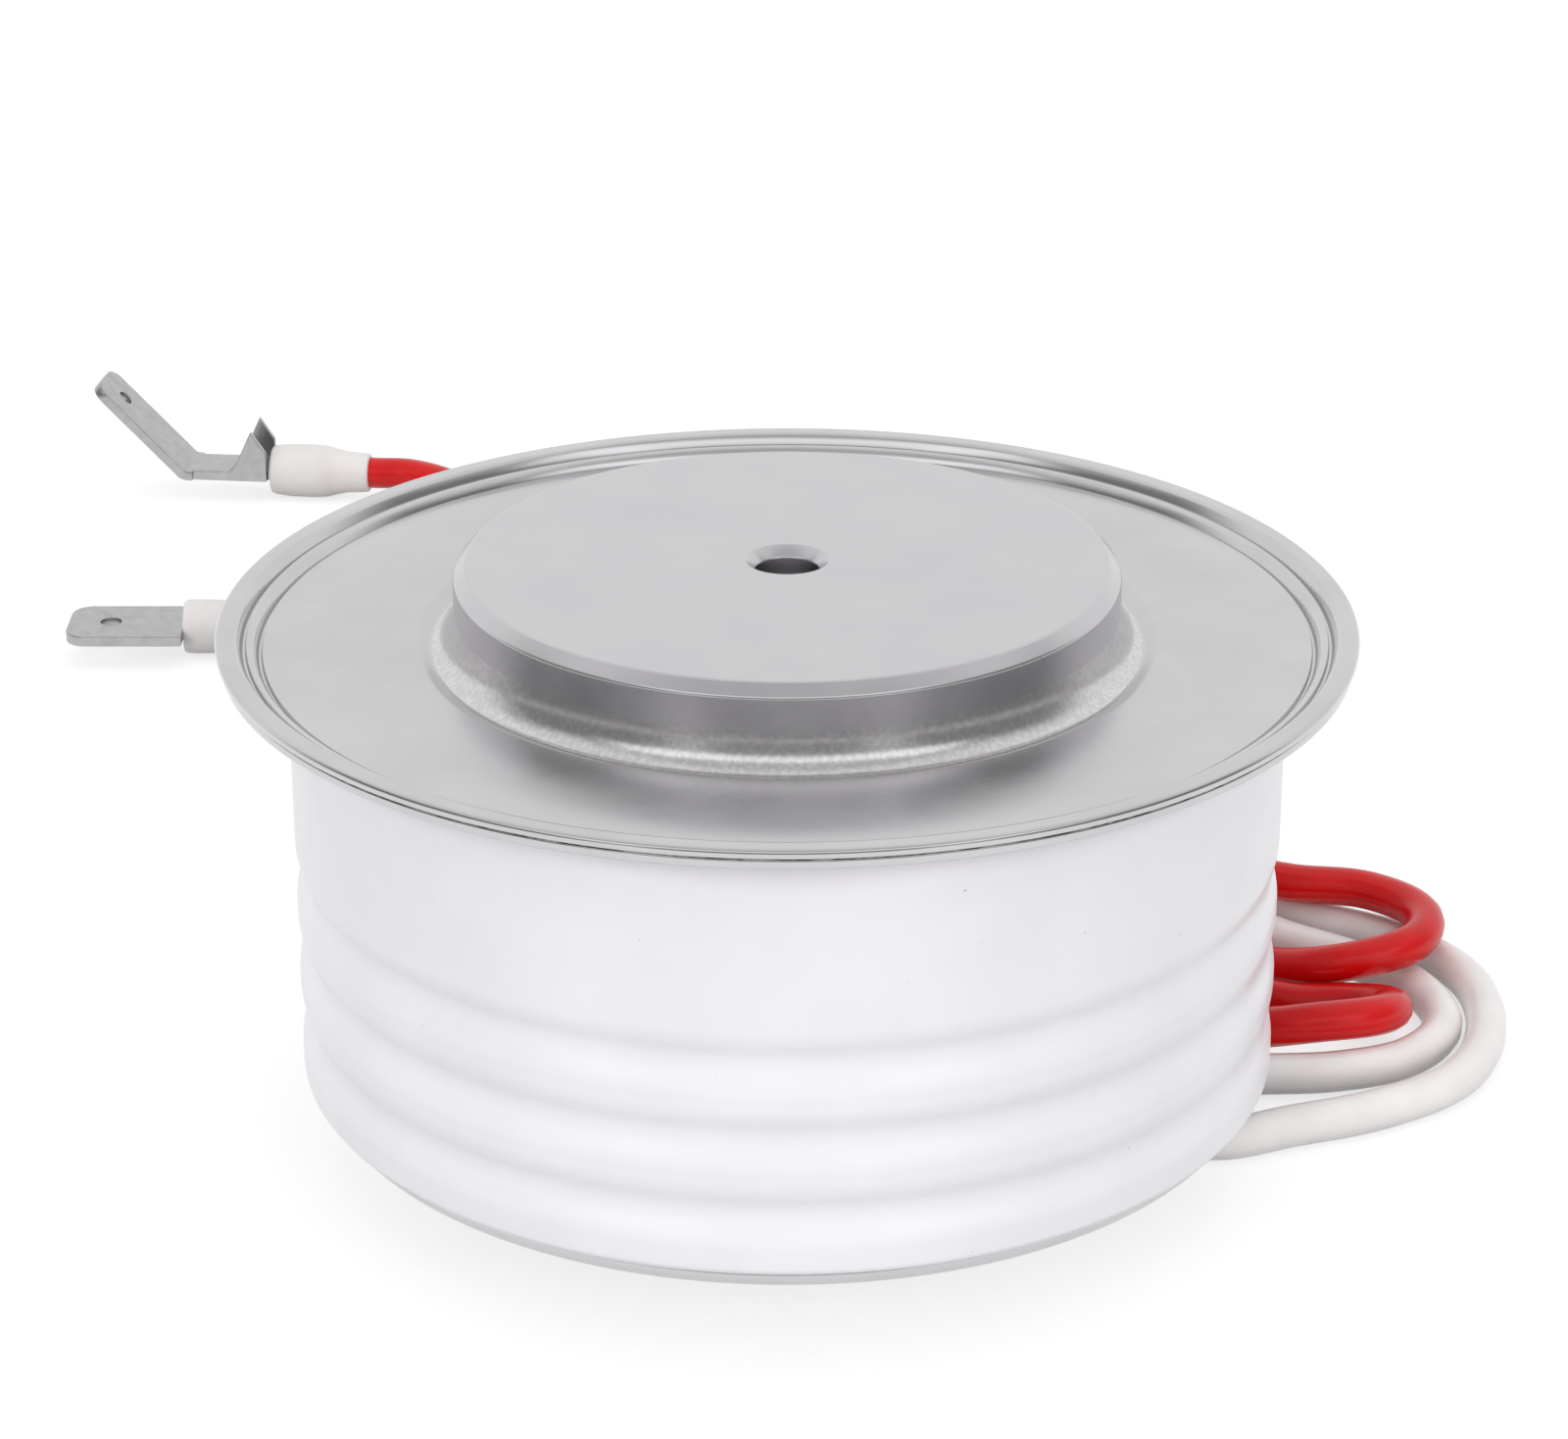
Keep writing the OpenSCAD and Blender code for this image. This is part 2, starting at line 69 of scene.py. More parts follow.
camera_data = bpy.data.cameras.new("photo_camera")
camera_data.sensor_width = 36
camera_data.lens = camera_data.sensor_width * FOCAL_PIXELS / IMAGE_WIDTH
camera_data.shift_x = (IMAGE_WIDTH / 2 - OPTICAL_CENTRE[0]) / IMAGE_WIDTH
camera_data.shift_y = (OPTICAL_CENTRE[1] - IMAGE_HEIGHT / 2) / IMAGE_WIDTH
camera_data.clip_start = 0.01
camera = bpy.data.objects.new("photo_camera", camera_data)
camera.location = CAMERA_PLACE * MM
camera.rotation_euler = (math.radians(90 - CAMERA_PITCH), 0, 0)
bpy.context.scene.collection.objects.link(camera)
bpy.context.scene.camera = camera
print("lens in mm:", round(camera_data.lens, 1))

# %% [markdown]
# ## The two leads
# A red lead goes to the cathode and a white one to the gate. Each is stranded copper in a soft
# plastic coat, 2.5 mm across. It could be a mesh tube or a curve with a round bevel. A Bezier curve is
# chosen, because it bends smoothly through the few points of the route and stays easy to edit.

# %% Routes of the leads, in millimetres
LEAD_D = 2.5
ON_FLOOR = LEAD_D / 2
OVER_LEAD = 3.9
TERMINAL_Z = 2.15
GATE_END = Vector((-37.9, 74.8, TERMINAL_Z))
GATE_HEADING = Vector((-1, 0, 0))
CATHODE_END = Vector((-40.2, 109.3, TERMINAL_Z))
CATHODE_HEADING = Vector((math.cos(math.radians(174)), math.sin(math.radians(174)), 0))
LUG_OUT = 33.9
LUG_TURN = math.radians(27)
CATHODE_START = Vector((LUG_OUT * math.sin(LUG_TURN), LUG_OUT * math.cos(LUG_TURN), 25))
GATE_Z = 22.4

gate_route = [
    (0, 31, GATE_Z), (0, 40.5, GATE_Z), (0, 43, GATE_Z), (1, 50, 20), (3, 55, 12), (8, 57, 4.5),
    (14.5, 53.5, ON_FLOOR), (20.5, 46.5, ON_FLOOR), (25.5, 38.5, ON_FLOOR), (29.5, 31, ON_FLOOR),
    (33.5, 26.2, ON_FLOOR), (39, 22.6, ON_FLOOR), (42.6, 17.6, ON_FLOOR), (43.2, 10.5, ON_FLOOR),
    (40.6, 3.4, ON_FLOOR), (35.5, -0.6, ON_FLOOR), (30, -2.8, ON_FLOOR), (25, -4.5, ON_FLOOR),
    (22, -3.4, ON_FLOOR), (20.8, -0.4, ON_FLOOR), (22, 2.5, ON_FLOOR), (25, 3.7, ON_FLOOR),
    (29, 3.8, ON_FLOOR), (33.4, 4.2, ON_FLOOR), (37.6, 5.9, ON_FLOOR), (40.4, 10, ON_FLOOR),
    (39.6, 15.4, ON_FLOOR), (36, 19.6, ON_FLOOR), (31.6, 23, ON_FLOOR), (27.5, 28, ON_FLOOR),
    (22.5, 34, ON_FLOOR), (15.5, 39, ON_FLOOR), (4, 43.6, ON_FLOOR), (-8, 49, ON_FLOOR),
    (-14, 55.6, 1.7), (-17.8, 60.8, 3.1), (-21, 65.4, OVER_LEAD + 0.2), (-24.4, 69.6, 3.3),
    (-28.2, 73.2, 2.3),
    GATE_END - 6 * GATE_HEADING, GATE_END - 4 * GATE_HEADING, GATE_END,
]
cathode_route = [
    CATHODE_START, CATHODE_START - Vector((0, 0, 6.5)), CATHODE_START - Vector((0, 0, 9)),
    (17, 32, 9), (21.5, 32, 5), (27, 28.6, OVER_LEAD), (32.5, 25.6, OVER_LEAD), (37.4, 24.4, OVER_LEAD),
    (40.4, 20.6, OVER_LEAD), (38.9, 16.2, OVER_LEAD), (34.5, 14.9, 3.3), (30.6, 17.4, 1.9),
    (26.8, 21.6, ON_FLOOR), (21, 27.6, ON_FLOOR), (14, 33.4, ON_FLOOR), (6.5, 36.4, ON_FLOOR),
    (-0.5, 36.4, ON_FLOOR), (-4, 34.8, ON_FLOOR), (-5, 31.8, ON_FLOOR), (-3.6, 29, ON_FLOOR),
    (0, 27.8, ON_FLOOR), (6, 27.4, ON_FLOOR), (12.5, 26, ON_FLOOR), (19, 22, ON_FLOOR),
    (25.5, 16.8, ON_FLOOR), (31, 13.7, ON_FLOOR), (35, 12.6, 1.7), (37.2, 9.8, 2.8),
    (35.8, 6.8, 3.7), (32.2, 5.7, 3.8), (28.6, 6.7, 2.9), (24.4, 9.6, 1.5),
    (20.4, 13.8, ON_FLOOR), (16.2, 18.8, ON_FLOOR), (9, 23.2, ON_FLOOR), (-2, 24.4, ON_FLOOR),
    (-12, 27.5, ON_FLOOR), (-17.5, 35, ON_FLOOR), (-20, 48, ON_FLOOR), (-21, 66, ON_FLOOR),
    (-21.5, 84, ON_FLOOR), (-22.5, 97, ON_FLOOR), (-25, 104, ON_FLOOR + 0.4),
    CATHODE_END - 9.5 * CATHODE_HEADING, CATHODE_END - 6.8 * CATHODE_HEADING, CATHODE_END,
]
print("route points:", len(gate_route), len(cathode_route))

# %% [markdown]
# At each point the lead heads midway between the stretch that it leaves and the one that it enters.
# Where a neighbour is at the same height, it runs level, so that it lies on the floor and never dips
# into it.

# %% Lay the leads
def lay_lead(name, route):
    points = [Vector(p) * MM for p in route]
    curve = bpy.data.curves.new(name, "CURVE")
    curve.dimensions = "3D"
    curve.resolution_u = 10
    curve.bevel_depth = 1
    curve.bevel_resolution = 5
    curve.use_fill_caps = True
    spline = curve.splines.new("BEZIER")
    spline.bezier_points.add(len(points) - 1)
    for i, knot in enumerate(spline.bezier_points):
        before = points[i] - points[max(i - 1, 0)]
        after = points[min(i + 1, len(points) - 1)] - points[i]
        way = before.normalized() + after.normalized()
        level = [step for step in (before, after) if step.length > 0 and abs(step.z) < 1e-9]
        if level:
            way.z = 0
        way.normalize()
        knot.co = points[i]
        knot.radius = LEAD_D / 2 * MM
        knot.handle_left_type = "FREE"
        knot.handle_right_type = "FREE"
        knot.handle_left = points[i] - way * before.length / 3
        knot.handle_right = points[i] + way * after.length / 3
    lead = bpy.data.objects.new(name, curve)
    bpy.context.scene.collection.objects.link(lead)
    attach(lead, "root")
    print(name, "length in mm:", round(spline.calc_length() / MM, 1))
    return lead, spline.calc_length()


gate_wire_lead, gate_length = lay_lead("gate_lead_white", gate_route)
cathode_wire_lead, cathode_length = lay_lead("cathode_lead_red", cathode_route)
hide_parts("gate_lead")
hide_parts("cathode_lead")

# %% [markdown]
# ## Building finishes
# Every finish is a small node tree on one Principled shader. Three helpers are enough: one turns an
# sRGB hex colour to the linear values that the renderer works in, one adds a node with its settings,
# its numbers and its links, and one starts a finish with the values that are the same all over it.

# %% Helpers for finishes
def linear(code):
    channels = [int(code[i:i + 2], 16) / 255 for i in (0, 2, 4)]
    return (*[c / 12.92 if c <= 0.04045 else ((c + 0.055) / 1.055) ** 2.4 for c in channels], 1)


def add_node(tree, kind, inputs=None, **settings):
    made = tree.nodes.new(kind)
    for key, value in settings.items():
        setattr(made, key, value)
    for key, value in (inputs or {}).items():
        if isinstance(value, bpy.types.NodeSocket):
            tree.links.new(value, made.inputs[key])
        else:
            made.inputs[key].default_value = value
    return made


def new_finish(name, **sockets):
    material = bpy.data.materials.new(name)
    material.use_nodes = True
    tree = material.node_tree
    shader = tree.nodes["Principled BSDF"]
    for key, value in sockets.items():
        shader.inputs[key.replace("_", " ")].default_value = value
    return material, tree, shader


finishes = {}

# %% [markdown]
# ## Glazed alumina
# The ring is sintered aluminium oxide, dipped in a thin clear glaze and fired. The eye sees a clean
# cool white, a soft gloss that is not quite even, and a rare speck. The specks are drawn at about
# 0.4 mm, the clouds at 9 mm and the glaze's waves at about 4 mm.

# %% Glazed alumina
material, tree, shader = new_finish(
    "glazed_alumina", Roughness=0.34, IOR=1.55, Coat_Weight=0.12, Coat_Roughness=0.15
)
where = add_node(tree, "ShaderNodeTexCoord").outputs["Object"]
cloud = add_node(tree, "ShaderNodeTexNoise", {"Vector": where, "Scale": 1 / (9 * MM), "Detail": 3})
speck = add_node(tree, "ShaderNodeTexNoise", {"Vector": where, "Scale": 1 / (0.4 * MM), "Detail": 1})
tint = add_node(tree, "ShaderNodeValToRGB", {"Fac": cloud.outputs["Fac"]})
tint.color_ramp.elements[0].position = 0.35
tint.color_ramp.elements[0].color = linear("F1EFF4")
tint.color_ramp.elements[1].position = 0.65
tint.color_ramp.elements[1].color = linear("F6F4F8")
spot = add_node(tree, "ShaderNodeMapRange", {"Value": speck.outputs["Fac"], 1: 0.80, 2: 0.86})
mixed = add_node(
    tree, "ShaderNodeMix",
    {"Factor": spot.outputs["Result"], 6: tint.outputs["Color"], 7: linear("CFCAC8")},
    data_type="RGBA",
)
tree.links.new(mixed.outputs[2], shader.inputs["Base Color"])
wave = add_node(tree, "ShaderNodeTexNoise", {"Vector": where, "Scale": 1 / (4 * MM), "Detail": 2})
bump = add_node(
    tree, "ShaderNodeBump", {"Height": wave.outputs["Fac"], "Strength": 0.12, "Distance": 0.1 * MM}
)
tree.links.new(bump.outputs["Normal"], shader.inputs["Normal"])
finishes["white_ceramic"] = material
print("made", material.name)

# %% [markdown]
# ## Nickel on turned copper
# The poles are turned from copper, plated with nickel and left satin, so that they press evenly on a
# cooler. The tool leaves rings a few hundredths of a millimetre apart. Those are too fine to show, so
# they are drawn about 0.2 mm apart, with a fine grain and slow clouds of handling marks over them.

# %% Nickel on turned copper
material, tree, shader = new_finish("nickel_plated_turned_copper", Metallic=1)
where = add_node(tree, "ShaderNodeTexCoord").outputs["Object"]
parts = add_node(tree, "ShaderNodeSeparateXYZ", {"Vector": where})
flat = add_node(tree, "ShaderNodeCombineXYZ", {"X": parts.outputs["X"], "Y": parts.outputs["Y"]})
radius = add_node(tree, "ShaderNodeVectorMath", {0: flat.outputs["Vector"]}, operation="LENGTH")
section = add_node(tree, "ShaderNodeCombineXYZ", {"X": radius.outputs["Value"], "Y": parts.outputs["Z"]})
rings = add_node(
    tree, "ShaderNodeTexNoise", {"Vector": section.outputs["Vector"], "Scale": 1 / (0.2 * MM), "Detail": 2}
)
grain = add_node(tree, "ShaderNodeTexNoise", {"Vector": where, "Scale": 1 / (0.12 * MM), "Detail": 3})
cloud = add_node(tree, "ShaderNodeTexNoise", {"Vector": where, "Scale": 1 / (5 * MM), "Detail": 4})
tint = add_node(tree, "ShaderNodeValToRGB", {"Fac": cloud.outputs["Fac"]})
tint.color_ramp.elements[0].position = 0.3
tint.color_ramp.elements[0].color = linear("C5C3C6")
tint.color_ramp.elements[1].position = 0.7
tint.color_ramp.elements[1].color = linear("CBC9CB")
tree.links.new(tint.outputs["Color"], shader.inputs["Base Color"])
both = add_node(tree, "ShaderNodeMath", {0: rings.outputs["Fac"], 1: grain.outputs["Fac"]}, operation="ADD")
rough = add_node(
    tree, "ShaderNodeMapRange", {"Value": cloud.outputs["Fac"], 1: 0.3, 2: 0.7, 3: 0.2, 4: 0.27}
)
tree.links.new(rough.outputs["Result"], shader.inputs["Roughness"])
bump = add_node(
    tree, "ShaderNodeBump", {"Height": both.outputs["Value"], "Strength": 0.1, "Distance": 0.008 * MM}
)
tree.links.new(bump.outputs["Normal"], shader.inputs["Normal"])
finishes["nickel_plate"] = material
print("made", material.name)

# %% [markdown]
# ## Pressed nickel sheet
# The lid, the weld ring and the lower flange are thin sheet, pressed and nickel plated. Pressing
# leaves it smoother than turning does, with slow waves about 12 mm long, and handling leaves small
# smears. The die rubs hardest where it draws the steps of the rim, so the sheet is shiny from a
# radius of 29 mm outwards and more satin on the flat inside that.

# %% Pressed nickel sheet
material, tree, shader = new_finish("pressed_nickel_sheet", Metallic=1)
where = add_node(tree, "ShaderNodeTexCoord").outputs["Object"]
slow = add_node(tree, "ShaderNodeTexNoise", {"Vector": where, "Scale": 1 / (12 * MM), "Detail": 2})
smear = add_node(tree, "ShaderNodeTexNoise", {"Vector": where, "Scale": 1 / (6 * MM), "Detail": 3})
tint = add_node(tree, "ShaderNodeValToRGB", {"Fac": smear.outputs["Fac"]})
tint.color_ramp.elements[0].position = 0.3
tint.color_ramp.elements[0].color = linear("C3C2C4")
tint.color_ramp.elements[1].position = 0.65
tint.color_ramp.elements[1].color = linear("CAC9CB")
tree.links.new(tint.outputs["Color"], shader.inputs["Base Color"])
parts = add_node(tree, "ShaderNodeSeparateXYZ", {"Vector": where})
flat = add_node(tree, "ShaderNodeCombineXYZ", {"X": parts.outputs["X"], "Y": parts.outputs["Y"]})
radius = add_node(tree, "ShaderNodeVectorMath", {0: flat.outputs["Vector"]}, operation="LENGTH")
satin = add_node(
    tree, "ShaderNodeMapRange", {"Value": radius.outputs["Value"], 1: 26 * MM, 2: 29 * MM, 3: 0.12, 4: 0}
)
smears = add_node(
    tree, "ShaderNodeMapRange", {"Value": smear.outputs["Fac"], 1: 0.3, 2: 0.7, 3: 0.12, 4: 0.18}
)
rough = add_node(
    tree, "ShaderNodeMath", {0: satin.outputs["Result"], 1: smears.outputs["Result"]},
    operation="ADD",
)
tree.links.new(rough.outputs["Value"], shader.inputs["Roughness"])
bump = add_node(
    tree, "ShaderNodeBump", {"Height": slow.outputs["Fac"], "Strength": 0.2, "Distance": 0.12 * MM}
)
tree.links.new(bump.outputs["Normal"], shader.inputs["Normal"])
finishes["pressed_nickel"] = material
print("made", material.name)

# %% [markdown]
# ## Silver braze and the weld at the rim
# Molten braze creeps into the corner round the pole and sets as a bright, slightly lumpy fillet. The
# rim is welded shut, and the heat leaves a narrow dark seam that is broken by bright spots. The braze
# is lumpy at 0.3 mm and the weld at 0.9 mm.

# %% Braze and weld
for slot, name, low, high, roughness, size, lumps in (
    ("silver_braze", "silver_braze_fillet", "CBC9CA", "D8D6D7", 0.22, 0.3, 0.12),
    ("heat_tint", "heat_tinted_weld_seam", "2B2827", "8C8988", 0.4, 0.9, 0.35),
):
    material, tree, shader = new_finish(name, Metallic=1, Roughness=roughness)
    where = add_node(tree, "ShaderNodeTexCoord").outputs["Object"]
    lump = add_node(tree, "ShaderNodeTexNoise", {"Vector": where, "Scale": 1 / (size * MM), "Detail": 3})
    tint = add_node(tree, "ShaderNodeValToRGB", {"Fac": lump.outputs["Fac"]})
    tint.color_ramp.elements[0].position = 0.42
    tint.color_ramp.elements[0].color = linear(low)
    tint.color_ramp.elements[1].position = 0.62
    tint.color_ramp.elements[1].color = linear(high)
    tree.links.new(tint.outputs["Color"], shader.inputs["Base Color"])
    bump = add_node(
        tree, "ShaderNodeBump", {"Height": lump.outputs["Fac"], "Strength": lumps, "Distance": 0.03 * MM}
    )
    tree.links.new(bump.outputs["Normal"], shader.inputs["Normal"])
    finishes[slot] = material
    print("made", material.name)

# %% [markdown]
# ## Plastics
# The leads have a glossy coat, extruded smooth. Silicone rubber is a usual coat for hot devices, and
# its IOR of 1.4 keeps the red deep. The sleeves are shrunk on, milky and let some light through. All
# have faint clouds about 3 mm wide. The hidden PTFE and rubber are made in the same loop.

# %% Insulation and sleeves
for slot, name, low, high, roughness, scatter, ior in (
    ("red_insulation", "red_extruded_insulation", "CC0B0D", "DA0F10", 0.26, 0, 1.4),
    ("white_insulation", "white_extruded_insulation", "F0EBEA", "F8F5F4", 0.28, 0.3, 1.4),
    ("clear_sleeve", "milky_shrink_sleeve", "E9E4E1", "F4F0EE", 0.38, 0.5, 1.5),
    ("ptfe", "turned_ptfe", "EDEDEA", "F5F5F3", 0.45, 0.3, 1.35),
    ("silicone_rubber", "cured_silicone_rubber", "9C2A20", "B23A2C", 0.4, 0.1, 1.41),
):
    material, tree, shader = new_finish(name, Roughness=roughness, IOR=ior, Subsurface_Weight=scatter)
    shader.inputs["Subsurface Radius"].default_value = (1, 0.95, 0.9)
    shader.inputs["Subsurface Scale"].default_value = 0.6 * MM
    where = add_node(tree, "ShaderNodeTexCoord").outputs["Object"]
    cloud = add_node(tree, "ShaderNodeTexNoise", {"Vector": where, "Scale": 1 / (3 * MM), "Detail": 3})
    tint = add_node(tree, "ShaderNodeValToRGB", {"Fac": cloud.outputs["Fac"]})
    tint.color_ramp.elements[0].position = 0.3
    tint.color_ramp.elements[0].color = linear(low)
    tint.color_ramp.elements[1].position = 0.7
    tint.color_ramp.elements[1].color = linear(high)
    tree.links.new(tint.outputs["Color"], shader.inputs["Base Color"])
    bump = add_node(
        tree, "ShaderNodeBump", {"Height": cloud.outputs["Fac"], "Strength": 0.1, "Distance": 0.1 * MM}
    )
    tree.links.new(bump.outputs["Normal"], shader.inputs["Normal"])
    finishes[slot] = material
    print("made", material.name)

# %% [markdown]
# ## Other metals
# Tin plate on the terminals is a dull grey with a fine mottle. The housing hides the other metals.
# They differ in colour and roughness only, so one loop makes them all, with a mottle of 0.8 mm.

# %% Tin plate and hidden metals
for slot, name, low, high, roughness in (
    ("tin_plate", "tin_plated_brass", "ABABAC", "B8B8B9", 0.3),
    ("molybdenum", "lapped_molybdenum", "8E8F92", "9C9DA0", 0.35),
    ("silicon", "etched_silicon", "55585F", "676A72", 0.2),
    ("contact_alloy", "gilt_contact_alloy", "CFAE62", "DEC07A", 0.25),
    ("spring_steel", "drawn_spring_steel", "9A9A9C", "A9A9AB", 0.3),
):
    material, tree, shader = new_finish(name, Metallic=1, Roughness=roughness)
    where = add_node(tree, "ShaderNodeTexCoord").outputs["Object"]
    cloud = add_node(tree, "ShaderNodeTexNoise", {"Vector": where, "Scale": 1 / (0.8 * MM), "Detail": 4})
    tint = add_node(tree, "ShaderNodeValToRGB", {"Fac": cloud.outputs["Fac"]})
    tint.color_ramp.elements[0].position = 0.3
    tint.color_ramp.elements[0].color = linear(low)
    tint.color_ramp.elements[1].position = 0.7
    tint.color_ramp.elements[1].color = linear(high)
    tree.links.new(tint.outputs["Color"], shader.inputs["Base Color"])
    bump = add_node(
        tree, "ShaderNodeBump", {"Height": cloud.outputs["Fac"], "Strength": 0.2, "Distance": 0.03 * MM}
    )
    tree.links.new(bump.outputs["Normal"], shader.inputs["Normal"])
    finishes[slot] = material
    print("made", material.name)

# %% [markdown]
# ## Pieces that keep their CAD shape
# What lies inside the housing is plain in shape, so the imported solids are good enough. They only
# need their finish. The leads get theirs here too.

# %% Dress the leads and the inner pieces
gate_wire_lead.data.materials.append(finishes["white_insulation"])
cathode_wire_lead.data.materials.append(finishes["red_insulation"])
FINISH_OF_NODE = {
    "anode_moly_disc": "molybdenum",
    "cathode_moly_disc": "molybdenum",
    "silicon_wafer": "silicon",
    "edge_coating": "silicone_rubber",
    "locating_ring": "ptfe",
    "gate_insulator": "ptfe",
    "gate_wire_sleeve": "ptfe",
    "gate_pin": "contact_alloy",
    "gate_wire": "contact_alloy",
    "gate_spring": "spring_steel",
    "gate_tube": "pressed_nickel",
}
for node_name, slot in FINISH_OF_NODE.items():
    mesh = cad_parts[node_name].data
    mesh.materials.clear()
    mesh.materials.append(finishes[slot])
print("dressed", len(FINISH_OF_NODE), "CAD nodes")

# %% [markdown]
# ## Turned and pressed pieces
# Poles, flanges and the ceramic ring are all round, so each could be a cylinder with cuts or a
# section that is spun about the axis. The section is chosen, because it is how a lathe or a press
# forms them. Real edges are never quite sharp, so chosen corners are then bevelled into small radii.

# %% Spin a section and round its corners
STEPS = 192
SHARP_FROM = math.radians(50)


def show(name, bm, slot, *nodes):
    for face in bm.faces:
        face.smooth = True
    for edge in bm.edges:
        edge.smooth = edge.calc_face_angle(0) < SHARP_FROM
    mesh = bpy.data.meshes.new(name)
    bm.to_mesh(mesh)
    bm.free()
    mesh.materials.append(finishes[slot])
    piece = bpy.data.objects.new(name, mesh)
    bpy.context.scene.collection.objects.link(piece)
    normals = piece.modifiers.new("face_weighted_normals", "WEIGHTED_NORMAL")
    normals.keep_sharp = True
    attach(piece, "root")
    if nodes:
        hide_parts(*nodes)
    print(name, "faces:", len(mesh.polygons))
    return piece


def ring_at(bm, r, z):
    near = 0.002 * MM
    return [
        edge for edge in bm.edges
        if all(abs(v.co.xy.length - r * MM) < near and abs(v.co.z - z * MM) < near for v in edge.verts)
    ]


def spin_section(section, rounded):
    bm = bmesh.new()
    corners = [bm.verts.new((r * MM, 0, z * MM)) for r, z in section]
    sides = list(zip(corners, corners[1:]))
    if section[0][0] > 0:
        sides.append((corners[-1], corners[0]))
    edges = [bm.edges.new(side) for side in sides]
    bmesh.ops.spin(
        bm, geom=corners + edges, cent=(0, 0, 0), axis=(0, 0, 1), angle=2 * math.pi,
        steps=STEPS, use_merge=True,
    )
    bmesh.ops.remove_doubles(bm, verts=bm.verts, dist=0.001 * MM)
    bmesh.ops.recalc_face_normals(bm, faces=bm.faces)
    for (r, z), radius, segments in rounded:
        bmesh.ops.bevel(
            bm, geom=ring_at(bm, r, z), offset=radius * MM, offset_type="OFFSET", segments=segments,
            profile=0.5, affect="EDGES", material=-1, clamp_overlap=True,
        )
    return bm


# %% [markdown]
# ## Cutting a hole
# Two of the round pieces have a cut that isn't round. A Boolean modifier takes the cutter away from
# a stand-in for the piece, and the result goes back into the bmesh, so that no modifier stays live.

# %% Cut one bmesh from another
def cut_away(bm, cutter_bm):
    stand_ins = []
    for name, shape in (("uncut", bm), ("cutter", cutter_bm)):
        mesh = bpy.data.meshes.new(name)
        shape.to_mesh(mesh)
        shape.free()
        stand_in = bpy.data.objects.new(name, mesh)
        bpy.context.scene.collection.objects.link(stand_in)
        stand_ins.append(stand_in)
    boolean = stand_ins[0].modifiers.new("cut", "BOOLEAN")
    boolean.operation = "DIFFERENCE"
    boolean.solver = "EXACT"
    boolean.object = stand_ins[1]
    solid = stand_ins[0].evaluated_get(bpy.context.evaluated_depsgraph_get()).to_mesh()
    result = bmesh.new()
    result.from_mesh(solid)
    bmesh.ops.remove_doubles(result, verts=result.verts, dist=0.0005 * MM)
    for stand_in in stand_ins:
        mesh = stand_in.data
        bpy.data.objects.remove(stand_in)
        bpy.data.meshes.remove(mesh)
    return result


# %% [markdown]
# ## The ceramic ring
# The wall is straight with a soft shoulder on top and three shallow grooves below, which lengthen
# the path for a spark along the surface. Each groove is a shallow V whose corners are rounded until
# it reads as a wave.

# %% Ceramic ring
CERAMIC_R = 28.5
CERAMIC_INNER_R = 23.5
CERAMIC_Z = (5.6, 30.4)
GROOVE_Z = (9.2, 13.7, 18.2)
GROOVE_DEPTH = 0.6
GROOVE_HALF = 1.5
TUBE_HOLE_R = 1.5
section = [(CERAMIC_INNER_R, CERAMIC_Z[0]), (CERAMIC_R, CERAMIC_Z[0])]
rounded = [((CERAMIC_R, CERAMIC_Z[0]), 0.5, 4)]
for z in GROOVE_Z:
    lips = [(CERAMIC_R, z - GROOVE_HALF), (CERAMIC_R, z + GROOVE_HALF)]
    bottom = (CERAMIC_R - 0.95 * GROOVE_DEPTH, z)
    section += [lips[0], bottom, lips[1]]
    rounded += [(bottom, 0.75, 8), (lips[0], 0.45, 5), (lips[1], 0.45, 5)]
section += [(CERAMIC_R, CERAMIC_Z[1]), (CERAMIC_INNER_R, CERAMIC_Z[1])]
rounded.append(((CERAMIC_R, CERAMIC_Z[1]), 2.5, 12))
tube_hole = bmesh.new()
bmesh.ops.create_cone(
    tube_hole, cap_ends=True, segments=48, radius1=TUBE_HOLE_R * MM, radius2=TUBE_HOLE_R * MM, depth=9 * MM,
    matrix=Matrix.Translation((0, 26 * MM, GATE_Z * MM)) @ Matrix.Rotation(math.pi / 2, 4, "X"),
)
bm = cut_away(spin_section(section, rounded), tube_hole)
show("ceramic_ring_glazed", bm, "white_ceramic", "ceramic_ring")

# %% [markdown]
# ## The two poles
# Each pole is one turned piece: a contact face with a chamfer and a centring hole, a straight wall
# and a wider body inside the housing. The section is drawn from the axis outwards and back.

# %% Poles
POLE_R = 19
FACE_R = 18.3
BODY_R = 20.8
CUP_R = 16.5
GATE_BORE_R = 3.7
TOP_Z = 36
CHAMFER = 0.7
HOLE = ((2.4, 0), (1.8, 0.6), (1.8, 3), (0, 4.08))
section = [
    (0, 28.6), (GATE_BORE_R, 28.6), (GATE_BORE_R, 21.1), (CUP_R, 21.1), (CUP_R, 27.1), (BODY_R, 27.1),
    (BODY_R, 30.6), (POLE_R, 30.6), (POLE_R, TOP_Z - CHAMFER), (FACE_R, TOP_Z),
    *[(r, TOP_Z - depth) for r, depth in HOLE],
]
rounded = [
    ((POLE_R, TOP_Z - CHAMFER), 0.12, 3), ((FACE_R, TOP_Z), 0.12, 3),
    ((2.4, TOP_Z), 0.06, 2), ((1.8, TOP_Z - 0.6), 0.06, 2),
    ((CUP_R, 21.1), 0.2, 2), ((BODY_R, 30.6), 0.2, 2), ((BODY_R, 27.1), 0.2, 2),
]
wire_slot = bmesh.new()
bmesh.ops.create_cube(
    wire_slot, size=1,
    matrix=Matrix.Translation((0, 11 * MM, 22.2 * MM)) @ Matrix.Diagonal((3.4 * MM, 22 * MM, 4.4 * MM, 1)),
)
